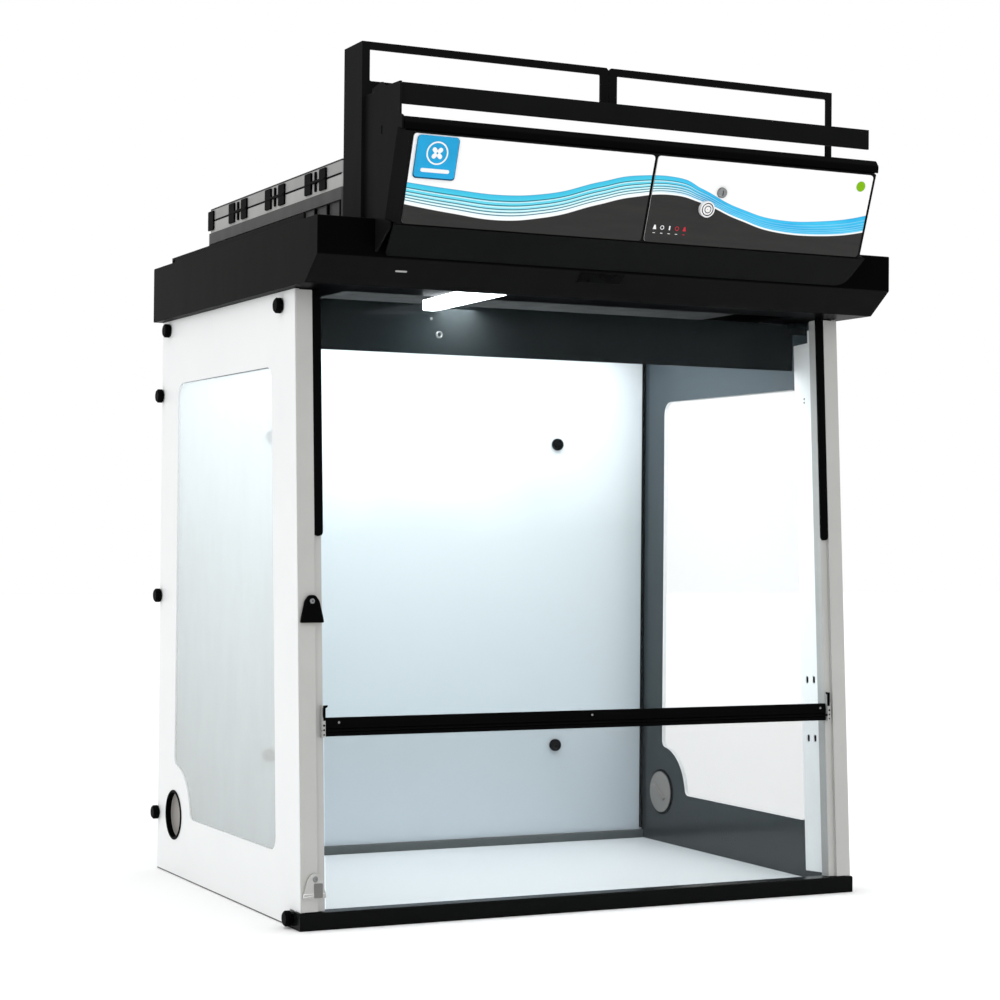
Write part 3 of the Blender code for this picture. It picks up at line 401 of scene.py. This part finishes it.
LOOKS = {
    "white_sheet": side_panel("white_sheet"),
    "cheek_white": coated("cheek_white", rgb(0.97, 0.985, 0.985), 0.35, 0.5, mottle=0.02, wear_and_highlight=0.0),
    "worktop_white": coated("worktop_white", rgb(0.90, 0.94, 0.955), 0.42, 0.12, 1300, 0.05, mottle=0.01, wear_and_highlight=0.0,
                            streak=0.01),
    "back_panel_frosted": back_sheet("back_panel_frosted"),
    # The two windows are the same acrylic as lit and shaded copies: a darker, more opaque painted-shade copy on the
    # left, a paler, clearer painted-light copy on the right.
    "left_window": window_sheet("left_window", 0.55, rgb(0.56, 0.585, 0.57), rgb(0.90, 0.96, 0.98)),
    "right_window": window_sheet("right_window", 0.12, rgb(0.80, 0.82, 0.82), rgb(0.95, 0.97, 0.98)),
    "upper_pane": clear("upper_pane", rgb(0.25, 0.30, 0.31), 0.02, specular=0.3),
    "flap_pane": clear("flap_pane", rgb(0.05, 0.055, 0.06), 0.12, specular=0.12),
    "post_grey": coated("post_grey", rgb(0.44, 0.44, 0.425), 0.36, 0.3, 700, 0.12, mottle=0.03, wear_and_highlight=0.06,
                        metallic=0.1, stretch=(1, 1, 0.04)),
    "rail_grey": coated("rail_grey", rgb(0.10, 0.115, 0.115), 0.34, 0.3, mottle=0.05),
    "black_metal": coated("black_metal", rgb(0.0065, 0.0068, 0.0066), 0.40, 0.009, 1000, 0.14, wear_and_highlight=0.16, streak=0.02),
    "tray_black": tray_with_painted_shade("tray_black"),
    "black_plastic": coated("black_plastic", rgb(0.0018, 0.0018, 0.002), 0.45, 0.012, 1500, 0.3, wear_and_highlight=0.08, streak=0.02),
    "sill_black": coated("sill_black", rgb(0.0035, 0.004, 0.0038), 0.25, 0.03, 1200, 0.06, wear_and_highlight=0.12, streak=0.02),
    "baffle_black": coated("baffle_black", rgb(0.0025, 0.004, 0.0046), 0.08, 0.03, 300, 0.02, mottle=0.1, wear_and_highlight=0.03,
                           streak=0.02),
    "inset_black": coated("inset_black", rgb(0.0012, 0.0012, 0.0014), 0.3, 0.02, 900, 0.1, mottle=0.1, wear_and_highlight=0.02),
    "lamp_opal": lit("lamp_opal", rgb(0.88, 0.95, 1.0), 8.0),
    "port_grey": coated("port_grey", rgb(0.28, 0.265, 0.25), 0.42, 0.2, 1300, 0.2),
    "inset_grey": coated("inset_grey", rgb(0.15, 0.15, 0.145), 0.35, 0.3, 900, 0.2),
    "clear_plastic": coated("clear_plastic", rgb(0.42, 0.42, 0.405), 0.22, 0.4, 600, 0.05, wear_and_highlight=0.5, coat=0.2),
    "fittings_steel": coated("fittings_steel", rgb(0.34, 0.34, 0.33), 0.32, 0.5, 500, 0.2, metallic=0.9,
                             stretch=(6, 1, 0.3)),
    "bracket_dark": coated("bracket_dark", rgb(0.36, 0.36, 0.35), 0.32, 0.3, 500, 0.2, wear_and_highlight=0.5, radius=1.0 * MM),
    "lock_steel": coated("lock_steel", rgb(0.22, 0.23, 0.23), 0.36, 0.4, 900, 0.3, metallic=0.5),
    "fascia_print": fascia_print("fascia_print"),
    "button_chrome": button_cap("button_chrome", centre("power_button") - Vector((0, 0.9421, 0.3355)) * 2.0 * MM),
    "module_light": coated("module_light", rgb(0.42, 0.42, 0.41), 0.42, 0.10, 1200, 0.25, mottle=0.06, wear_and_highlight=0.05),
    "cover_light": topped("cover_light", rgb(0.33, 0.33, 0.325), high("exhaust_cover").z - 2.0 * MM),
    "housing_grey": coated("housing_grey", rgb(0.072, 0.072, 0.071), 0.42, 0.06, 1100, 0.2, mottle=0.06),
    "filter_medium": coated("filter_medium", rgb(0.03, 0.03, 0.03), 0.8, 0.2, 260, 1.0, 0.6 * MM, 0.3),
    "fan_dark": coated("fan_dark", rgb(0.06, 0.06, 0.062), 0.45, 0.3),
    "badge_blue": coated("badge_blue", rgb(0.014, 0.35, 0.66), 0.16, 0.15, 900, 0.04, mottle=0.10, wear_and_highlight=0.02),
    "badge_edge": coated("badge_edge", rgb(0.004, 0.075, 0.15), 0.2, 0.1, 900, 0.04, mottle=0.06, wear_and_highlight=0.0),
    "bead_grey": coated("bead_grey", rgb(0.10, 0.105, 0.105), 0.5, 0.1, 900, 0.2),
    "mark_white": coated("mark_white", rgb(0.88, 0.89, 0.89), 0.3, 0.2, mottle=0.02, wear_and_highlight=0.0),
    "mark_red": coated("mark_red", rgb(0.55, 0.03, 0.045), 0.3, 0.1, mottle=0.05, wear_and_highlight=0.0),
    "mark_green": coated("mark_green", rgb(0.21, 0.47, 0.003), 0.22, 0.1, mottle=0.05, wear_and_highlight=0.0),
}

DRESSED = {
    "white_sheet": ("left_side_frame", "right_side_frame"),
    "cheek_white": ("left_cheek", "right_cheek"),
    "worktop_white": ("worktop",),
    "back_panel_frosted": ("back_panel",),
    "left_window": ("left_window",),
    "right_window": ("right_window",),
    "upper_pane": ("upper_pane",),
    "flap_pane": ("flap_pane",),
    "post_grey": ("left_post", "right_post"),
    "rail_grey": ("rear_rail",),
    "tray_black": ("head_tray",),
    "black_metal": ("console_bezel", "console_apron", "left_console_side", "lip_deck", "left_guide_frame",
                    "right_guide_frame"),
    "housing_grey": ("filter_housing",),
    "black_plastic": ("left_guide_strip", "right_guide_strip", "console_rim", "upper_post_cap", "hinge_bar",
                      "flap_rail", "hinge_pin", "power_inlet", "left_port_ring", "right_port_ring"),
    "sill_black": ("front_sill",),
    "baffle_black": ("ceiling_baffle",),
    "lamp_opal": ("lamp_lens",),
    "port_grey": ("left_port_cover", "right_port_cover"),
    "clear_plastic": ("lower_post_cap",),
    "bracket_dark": ("left_hinge_bracket", "right_hinge_bracket"),
    "lock_steel": ("lock_cylinder",),
    "fascia_print": ("left_fascia", "control_panel"),
    "button_chrome": ("power_button",),
    "module_light": ("fan_shroud",),
    "cover_light": ("exhaust_cover",),
    "filter_medium": ("carbon_filter",),
    "fan_dark": ("fan_motor", "fan_impeller"),
}


def dress():
    """Give each carried-over CAD node its finished material."""
    for look, names in DRESSED.items():
        for name in names:
            for slot in NODES[name].material_slots:
                slot.material = LOOKS[look]
    for name, node in NODES.items():
        if "_knob_" in name:
            for slot in node.material_slots:
                slot.material = LOOKS["black_plastic"]


# ------------------------------------------------------------------ piece helpers

def piece(name, bm, look, place, body="hood", bevel=0.0, smooth=30.0):
    """Finish a mesh as a named piece that rides on a body."""
    mesh = bpy.data.meshes.new(name)
    bmesh.ops.recalc_face_normals(bm, faces=bm.faces)
    bm.to_mesh(mesh)
    bm.free()
    obj = bpy.data.objects.new(name, mesh)
    bpy.context.scene.collection.objects.link(obj)
    obj.matrix_world = place
    mesh.materials.append(LOOKS[look])
    if bevel:
        edges = obj.modifiers.new("edges", "BEVEL")
        edges.width = bevel
        edges.segments = 2
        edges.limit_method = "ANGLE"
    mesh.shade_smooth()
    sharp = obj.modifiers.new("creases", "WEIGHTED_NORMAL")
    sharp.keep_sharp = True
    mesh.set_sharp_from_angle(angle=radians(smooth))
    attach(obj, body)
    return obj


def slab(width, depth, height):
    """Box about its own centre."""
    bm = bmesh.new()
    bmesh.ops.create_cube(bm, size=1.0)
    bmesh.ops.scale(bm, vec=(width, depth, height), verts=bm.verts)
    return bm


def turned(profile, steps=32):
    """Solid of revolution about local Z, from (radius, height) pairs, top down."""
    bm = bmesh.new()
    rings = []
    for radius, height in profile:
        if radius == 0:
            rings.append([bm.verts.new((0, 0, height))])
        else:
            rings.append([
                bm.verts.new((radius * cos(2 * pi * i / steps), radius * sin(2 * pi * i / steps), height))
                for i in range(steps)
            ])
    if profile[0][0] != 0:
        rings.append(rings[0])
    for upper, lower in zip(rings, rings[1:]):
        for i in range(steps):
            ring = [upper[i % len(upper)], upper[(i + 1) % len(upper)],
                    lower[(i + 1) % len(lower)], lower[i % len(lower)]]
            corners = list(dict.fromkeys(ring))
            if len(corners) > 2:
                bm.faces.new(corners)
    return bm


def plate(outline, thickness):
    """Flat plate from a counter-clockwise (x, y) outline, from z 0 up to its thickness."""
    bm = bmesh.new()
    face = bm.faces.new([bm.verts.new((x, y, 0)) for x, y in outline])
    grown = bmesh.ops.extrude_face_region(bm, geom=[face])
    bmesh.ops.translate(bm, vec=(0, 0, thickness),
                        verts=[v for v in grown["geom"] if isinstance(v, bmesh.types.BMVert)])
    return bm


def round_rect(width, height, radius, steps=5):
    points = []
    for cx, cy, first in ((1, 1, 0), (-1, 1, 90), (-1, -1, 180), (1, -1, 270)):
        for i in range(steps + 1):
            a = radians(first + 90 * i / steps)
            points.append((cx * (width / 2 - radius) + radius * cos(a),
                           cy * (height / 2 - radius) + radius * sin(a)))
    return points


def on_face(x, up, lift=0.0):
    """Frame on the console's face: local x right, y up the face, z out of it."""
    turn = Matrix.Rotation(pi / 2, 4, "X")
    return FACE @ Matrix.Translation((x * MM, FACE_SKIN - lift, up * MM)) @ turn


def on_front(x, y, up):
    """Frame on the leaning front: local x right, y up the plane, z towards the user."""
    return FRONT @ Matrix.Translation((x * MM, y * MM, up * MM)) @ Matrix.Rotation(pi / 2, 4, "X")


def facing(direction, at):
    """Frame whose local Z looks along a world direction."""
    turn = Vector(direction).to_track_quat("Z", "Y").to_matrix().to_4x4()
    return Matrix.Translation(at) @ turn


def screw(name, place, radius, look="fittings_steel", body="hood"):
    """Pan-head screw with a cross recess left as a shallow dimple."""
    r = radius
    profile = [(0, 0.35 * r), (0.22 * r, 0.35 * r), (0.32 * r, 0.62 * r), (0.75 * r, 0.5 * r),
               (r, 0.12 * r), (r, -0.1 * r), (0, -0.1 * r)]
    return piece(name, turned(profile, 24), look, place, body)


# ------------------------------------------------------------------ pieces

def back_wall_knobs():
    """Black clamp knobs on the back wall, inside the chamber."""
    wall = low("back_panel").y
    profile = [(0, 8.2), (3.0, 8.2), (4.0, 7.4), (7.4, 7.4), (8.7, 6.2), (9.0, 4.5), (9.0, 1.6),
               (7.2, 0.3), (0, 0.3)]
    profile = [(r * MM, h * MM) for r, h in profile]
    for side, x in (("left", -228.6), ("right", 228.6)):
        for level, z in (("low", 152.0), ("high", 606.0)):
            place = facing((0, -1, 0), (x * MM, wall, z * MM))
            piece(f"back_knob_{side}_{level}", turned(profile), "black_plastic", place)


def fascia_fittings():
    """Badge, status light and the row of generic marks."""
    backing = plate(round_rect(52.5 * MM, 49.5 * MM, 4 * MM), 1.6 * MM)
    piece("badge_backing", backing, "badge_edge", on_face(-286.6, 79.6, 0.1 * MM))
    badge = plate(round_rect(51.5 * MM, 48.5 * MM, 4 * MM), 1.4 * MM)
    piece("fascia_badge", badge, "badge_blue", on_face(-287, 80.8, 1.6 * MM), bevel=0.6 * MM)
    ring = [(13.6, 0), (13.6, 0.25), (11.8, 0.25), (11.8, 0)]
    ring = [(r * MM, h * MM) for r, h in ring]
    piece("badge_ring", turned(ring, 40), "mark_white", on_face(-287, 85.5, 3.0 * MM))
    for i in range(4):
        blade = plate(round_rect(5.2 * MM, 7.2 * MM, 2.5 * MM), 0.25 * MM)
        spin = Matrix.Rotation(2 * pi * i / 4 + pi / 4, 4, "Z") @ Matrix.Translation((0, 4.6 * MM, 0))
        place = on_face(-287, 85.5, 3.0 * MM) @ spin
        piece(f"badge_blade_{i}", blade, "mark_white", place)
    bar = plate(round_rect(36 * MM, 4.5 * MM, 2 * MM), 0.25 * MM)
    piece("badge_bar", bar, "mark_white", on_face(-287, 65.0, 3.0 * MM))

    dot = [(0, 1.3), (4.5, 1.1), (6.2, 0.5), (6.5, 0.0), (0, 0.0)]
    dot = [(r * MM, h * MM) for r, h in dot]
    piece("status_light", turned(dot, 36), "mark_green", on_face(297, 90.7, 0.1 * MM), "control_door")

    tall = [(-2.4, -2.6), (2.4, -2.6), (0.9, 2.8), (-0.9, 2.8)]
    tall = [(x * MM, y * MM) for x, y in tall]
    hoop = [(r * MM, h * MM) for r, h in ((2.7, 0), (2.7, 0.2), (1.8, 0.2), (1.8, 0))]
    shapes = (("triangle", "mark_white"), ("hoop", "mark_white"), ("bar", "mark_white"),
              ("hoop", "mark_red"), ("triangle", "mark_red"))
    for i, (shape, look) in enumerate(shapes):
        x = 13.5 + 10.4 * i
        if shape == "triangle":
            bm = plate(tall, 0.2 * MM)
        elif shape == "hoop":
            bm = turned(hoop, 24)
        else:
            bm = plate(round_rect(1.8 * MM, 5.4 * MM, 0.8 * MM), 0.2 * MM)
        piece(f"mark_{i}", bm, look, on_face(x, 19.5, 0.05 * MM), "control_door")
        under = plate(round_rect(3.4 * MM, 0.8 * MM, 0.35 * MM), 0.2 * MM)
        piece(f"mark_under_{i}", under, look if i in (0, 4) else "mark_white",
              on_face(x, 12.5, 0.05 * MM), "control_door")


def filter_stack():
    """Black clips along both sides of the stack, and the ribs of the filter housing."""
    half = high("filter_housing").x
    shroud_low, cover_top = low("fan_shroud").z, high("exhaust_cover").z
    mid = (shroud_low + cover_top) / 2
    upright = round_rect(22 * MM, 27 * MM, 1.5 * MM, 2)
    stem = round_rect(4 * MM, 25 * MM, 1.2 * MM, 2)
    bridge = round_rect(66 * MM, 3.2 * MM, 1.0 * MM, 2)
    for side, sign in (("left", -1), ("right", 1)):
        wall = sign * high("fan_shroud").x
        for i, y in enumerate((138, -6, -151, 283)):
            middle = Vector((wall + sign * 0.25 * MM, (y + 71) * MM if y < 200 else 0.3345, mid))
            parts = ((-25, upright), (0, stem), (25, upright)) if y < 200 else ((-13, upright),)
            for k, (shift, outline) in enumerate(parts):
                place = facing((sign, 0, 0), middle + Vector((0, shift * MM, 0)))
                place = place @ Matrix.Rotation(pi / 2 if upright_turned(place) else 0, 4, "Z")
                piece(f"clip_{side}_{i}_{k}", plate(outline, 2.4 * MM), "black_plastic", place, bevel=0.5 * MM)
            if y < 200:
                place = facing((sign, 0, 0), middle)
                place = place @ Matrix.Rotation(pi / 2 if upright_turned(place) else 0, 4, "Z")
                piece(f"clip_{side}_{i}_bridge", plate(bridge, 3.0 * MM), "black_plastic", place, bevel=0.4 * MM)
        seam = slab(1.6 * MM, 0.49, 2.6 * MM)
        at = (wall - sign * 0.4 * MM, centre("fan_shroud").y, high("fan_shroud").z + 0.15 * MM)
        piece(f"stack_seam_{side}", seam, "black_plastic", Matrix.Translation(at), bevel=0.3 * MM)
        rib_z = (low("filter_housing").z + 0.8725) / 2 + 0.2 * MM
        for i in range(12):
            y = -161 + 42 * i
            rib = slab(3.4 * MM, 3.2 * MM, 34.5 * MM)
            place = Matrix.Translation((sign * (half - 1.8 * MM), y * MM, rib_z))
            piece(f"housing_rib_{side}_{i}", rib, "black_plastic", place, bevel=0.4 * MM)


def upright_turned(place):
    """True if the frame's local x doesn't run along world Y."""
    return abs(place.to_3x3().col[0].y) < 0.5


def head_fittings():
    """Inset on the chamfer, ring screw and lens on the baffle, and the rear plate."""
    sensor = plate(round_rect(62 * MM, 17 * MM, 1.5 * MM), 0.8 * MM)
    lower_edge = Vector((0, low("head_tray").y + 40 * MM, low("head_tray").z))
    upper_edge = Vector((0, low("head_tray").y, low("head_tray").z + 29.5 * MM))
    along = (upper_edge - lower_edge).normalized()
    out = Vector((0, -along.z, along.y)) * (1 if along.y < 0 else -1)
    out = Vector((0, along.z, -along.y)) if out.z > 0 else out
    basis = Matrix((Vector((1, 0, 0)), along, Vector((1, 0, 0)).cross(along))).transposed().to_4x4()
    spot = lower_edge + along * 38.5 * MM + Vector((-23.5 * MM, 0, 0))
    piece("chamfer_inset", sensor, "inset_black", Matrix.Translation(spot) @ basis, bevel=0.3 * MM)
    dash = plate(round_rect(15 * MM, 2.6 * MM, 1.2 * MM), 0.4 * MM)
    spot = lower_edge + along * 28.5 * MM + Vector((-287 * MM, 0, 0))
    piece("chamfer_dash", dash, "module_light", Matrix.Translation(spot) @ basis)

    face = low("ceiling_baffle").y + 33 * MM
    ring = [(4.6, 0), (4.6, 1.4), (3.6, 2.0), (2.6, 1.4), (2.6, 0)]
    ring = [(r * MM, h * MM) for r, h in ring]
    piece("baffle_ring", turned(ring, 28), "fittings_steel", facing((0, -1, 0), (-0.157, face, 0.723)))
    screw("baffle_lens", facing((0, -1, 0), (-0.168, face, 0.743)), 1.8 * MM)

    back = high("head_tray").y
    grille = plate(round_rect(150 * MM, 38 * MM, 3 * MM), 0.8 * MM)
    piece("rear_grille_plate", grille, "black_metal", facing((0, 1, 0), (-0.2, back + 0.05 * MM, 0.8)))
    for i in range(9):
        slat = slab(2.2 * MM, 3.0 * MM, 28 * MM)
        place = Matrix.Translation((-0.2 + (i - 4) * 15 * MM, back + 1.6 * MM, 0.8))
        piece(f"rear_grille_slat_{i}", slat, "black_plastic", place, bevel=0.6 * MM)


def front_fittings():
    """Rivets, cap screws and cheek screws."""
    for i, x in enumerate((-338, 4, 346)):
        screw(f"bar_rivet_{i}", on_front(x, -1.05, 222.8), 1.5 * MM)
    screw("upper_cap_screw", on_front(-371.7, -4.4, 367.2), 3.2 * MM, "lock_steel")
    # Painted shade: a black disc at the bottom of the cap screw's dimple.
    dimple = turned([(0, 0.4 * MM), (1.3 * MM, 0.4 * MM), (1.3 * MM, 0), (0, 0)], 20)
    piece("upper_cap_dimple_shade", dimple, "inset_black", on_front(-371.7, -5.6, 367.2))
    screw("lower_cap_screw", on_front(-370.5, -2.85, 39.5), 3.4 * MM, "lock_steel")
    # Painted highlight: a thin white bead along the front edge of the clear lower cap.
    outline("lower_cap_edge_highlight", "lower_post_cap", Vector((0, -1, -0.0546)), 0.55 * MM, "mark_white", "clear_plastic")
    inset = plate(round_rect(11 * MM, 17 * MM, 1.2 * MM), 0.5 * MM)
    piece("lower_cap_inset", inset, "inset_grey", on_front(-367, -2.85, 26), bevel=0.15 * MM)
    for side, sign in (("left", -1), ("right", 1)):
        wall = low("right_cheek").x if sign > 0 else high("left_cheek").x
        for i, z in enumerate((0.6525, 0.6575)):
            at = (wall, -0.177 + 0.071, z)
            screw(f"cheek_screw_{side}_{i}", facing((-sign, 0, 0), at), 1.5 * MM)
        # Painted shade: a black plate set in each catch slot of the cheek stands for the shade inside it.
        for i, (y, z) in enumerate(((62, 180), (78, 180), (62, 259), (78, 259))):
            turn = Matrix.Rotation(-sign * pi / 2, 4, "Y")
            slot_shade = plate(round_rect(9.0 * MM, 5.0 * MM, 2.2 * MM), 1.0 * MM)
            place = FRONT @ Matrix.Translation((wall + sign * 1.6 * MM, y * MM, z * MM)) @ turn
            piece(f"cheek_slot_shade_{side}_{i}", slot_shade, "inset_black", place)


def outline(name, node, direction, thickness, look, slot, lift=0.0):
    """Thin bead along the edge of a CAD node's face that looks along a direction."""
    bm = bmesh.new()
    bm.from_mesh(NODES[node].data)
    direction = direction.normalized()
    bm.faces.ensure_lookup_table()
    reach = max(v.co.dot(direction) for v in bm.verts)
    front = {f for f in bm.faces
             if f.normal.dot(direction) > 0.98 and f.calc_center_median().dot(direction) > reach - 0.5 * MM}
    rim = [e for e in bm.edges if sum(f in front for f in e.link_faces) == 1]
    beside = {}
    for edge in rim:
        a, b = edge.verts
        beside.setdefault(a, []).append(b)
        beside.setdefault(b, []).append(a)
    first = max(beside, key=lambda v: (round(v.co.z, 5), v.co.y))
    path, last, here = [first], None, first
    while True:
        ahead = [v for v in beside[here] if v is not last and (v not in path or v is first)]
        if not ahead or ahead[0] is first:
            break
        last, here = here, ahead[0]
        path.append(here)
    curve = bpy.data.curves.new(name, "CURVE")
    curve.dimensions = "3D"
    curve.bevel_depth = thickness
    curve.bevel_resolution = 1
    spline = curve.splines.new("POLY")
    spline.points.add(len(path) - 1)
    for point, vert in zip(spline.points, path):
        point.co = (*(vert.co + direction * lift), 1)
    spline.use_cyclic_u = True
    bm.free()
    curve.materials.append(LOOKS[look])
    obj = bpy.data.objects.new(name, curve)
    bpy.context.scene.collection.objects.link(obj)
    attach(obj, "hood")


def side_beads():
    """Dark bead round each side window, and the end pieces of the hinge bar."""
    for side, sign in (("left", -1), ("right", 1)):
        outline(f"window_bead_{side}", f"{side}_window", Vector((sign, 0, 0)), 0.45 * MM, "bead_grey", "black_plastic",
                0.3 * MM)
        base = centre(f"{side}_hinge_bracket")
        face = low(f"{side}_hinge_bracket").y
        for i, z in enumerate((0.229, 0.2345, 0.240)):
            bead = turned([(0, 0.8 * MM), (1.0 * MM, 0.6 * MM), (1.4 * MM, 0), (0, 0)], 18)
            piece(f"bracket_bead_{side}_{i}", bead, "inset_black", facing((0, -1, 0), (base.x, face + 0.6 * MM, z)))
        hook = plate([(x * MM, y * MM) for x, y in (
            (-1.6, -10), (1.4, -10), (1.4, 5), (4.0, 6.2), (4.0, 8.6), (-1.6, 8.0))], 2.4 * MM)
        place = Matrix.Translation((base.x - sign * 0.6 * MM, face + 3.2 * MM, 0.2555)) @ Matrix.Rotation(pi / 2, 4, "X")
        if sign > 0:
            place = place @ Matrix.Rotation(pi, 4, "Y") @ Matrix.Translation((0, 0, -2.4 * MM))
        piece(f"bracket_hook_{side}", hook, "inset_black", place, bevel=0.4 * MM)


def rear_fittings():
    """Screws that hold the back panel, and the corner trims of the chamber."""
    back = high("back_panel").y
    for i, x in enumerate((-0.36, -0.12, 0.12, 0.36)):
        for j, z in enumerate((0.04, 0.74)):
            screw(f"rear_screw_{i}_{j}", facing((0, 1, 0), (x, back, z)), 4.0 * MM)
    for side, sign in (("left", -1), ("right", 1)):
        trim = slab(5 * MM, 4 * MM, 0.735)
        at = (sign * (high("right_side_frame").x - 9 * MM), low("back_panel").y - 2.1 * MM, 0.388)
        piece(f"corner_trim_{side}", trim, "black_plastic", Matrix.Translation(at), bevel=1 * MM)


# ------------------------------------------------------------------ stage, light and camera

def stage():
    """Pale floor under a white studio."""
    bm = bmesh.new()
    bmesh.ops.create_grid(bm, x_segments=1, y_segments=1, size=14.0)
    mesh = bpy.data.meshes.new("floor")
    bm.to_mesh(mesh)
    bm.free()
    floor = bpy.data.objects.new("floor", mesh)
    floor.location.z = -0.4 * MM
    bpy.context.scene.collection.objects.link(floor)
    mat, tree, shader = start("floor_white")
    haze = noise(tree, object_point(tree), 2.0, 2.0)
    feed(tree, shader, Base_Color=mix_colour(tree, haze, rgb(0.93, 0.93, 0.93), rgb(0.95, 0.95, 0.95)),
         Roughness=0.9, Specular_IOR_Level=0.1)
    mesh.materials.append(mat)

    world = bpy.data.worlds.new("studio")
    world.use_nodes = True
    backdrop = world.node_tree.nodes["Background"]
    backdrop.inputs["Color"].default_value = rgb(1.0, 1.0, 1.0)
    backdrop.inputs["Strength"].default_value = 1.0
    bpy.context.scene.world = world
    bpy.context.scene.view_settings.view_transform = "Standard"


def soft_box(name, at, target, size, power, colour=(1, 1, 1), hidden=False):
    light = bpy.data.lights.new(name, "AREA")
    light.shape = "RECTANGLE"
    light.size, light.size_y = size
    light.energy = power
    light.color = colour
    lamp = bpy.data.objects.new(name, light)
    lamp.location = at
    lamp.rotation_mode = "QUATERNION"
    lamp.rotation_quaternion = (Vector(target) - Vector(at)).to_track_quat("-Z", "Y")
    if hidden:
        lamp.visible_camera = False
        lamp.visible_glossy = False
    bpy.context.scene.collection.objects.link(lamp)


def lights():
    soft_box("key", (-2.6, -3.2, 3.4), (0, 0, 0.5), (2.4, 2.4), 8)
    lens = centre("lamp_lens")
    soft_box("hood_lamp", (lens.x, lens.y, low("lamp_lens").z - 4 * MM), (lens.x, lens.y + 0.1, 0), (0.05, 0.10), 0.7,
             (0.93, 0.97, 1.0), hidden=True)
    roof = low("head_tray").z - 8 * MM
    soft_box("chamber_glow", (0, 0.13, roof), (0, 0.16, 0), (0.68, 0.34), 3.2, (0.92, 0.97, 1.0), hidden=True)
    sun = bpy.data.lights.new("overcast", "SUN")
    sun.energy = 0.6
    sun.angle = radians(70)
    bpy.context.scene.collection.objects.link(bpy.data.objects.new("overcast", sun))


def camera():
    data = bpy.data.cameras.new("camera")
    data.sensor_width = 36.0
    data.lens = 81.78
    data.clip_start = 0.1
    data.clip_end = 100.0
    view = bpy.data.objects.new("camera", data)
    yaw, pitch, roll = radians(25.92), radians(0.93), radians(0.501)
    ahead = Vector((sin(yaw) * cos(pitch), cos(yaw) * cos(pitch), sin(pitch)))
    right = Vector((cos(yaw), -sin(yaw), 0))
    up = right.cross(ahead)
    right, up = cos(roll) * right + sin(roll) * up, cos(roll) * up - sin(roll) * right
    view.matrix_world = Matrix.Translation((-1.35158, -2.71717, 0.46554)) @ Matrix((right, up, -ahead)).transposed().to_4x4()
    bpy.context.scene.collection.objects.link(view)
    bpy.context.scene.camera = view


dress()
back_wall_knobs()
fascia_fittings()
filter_stack()
head_fittings()
front_fittings()
rear_fittings()
side_beads()
stage()
lights()
camera()
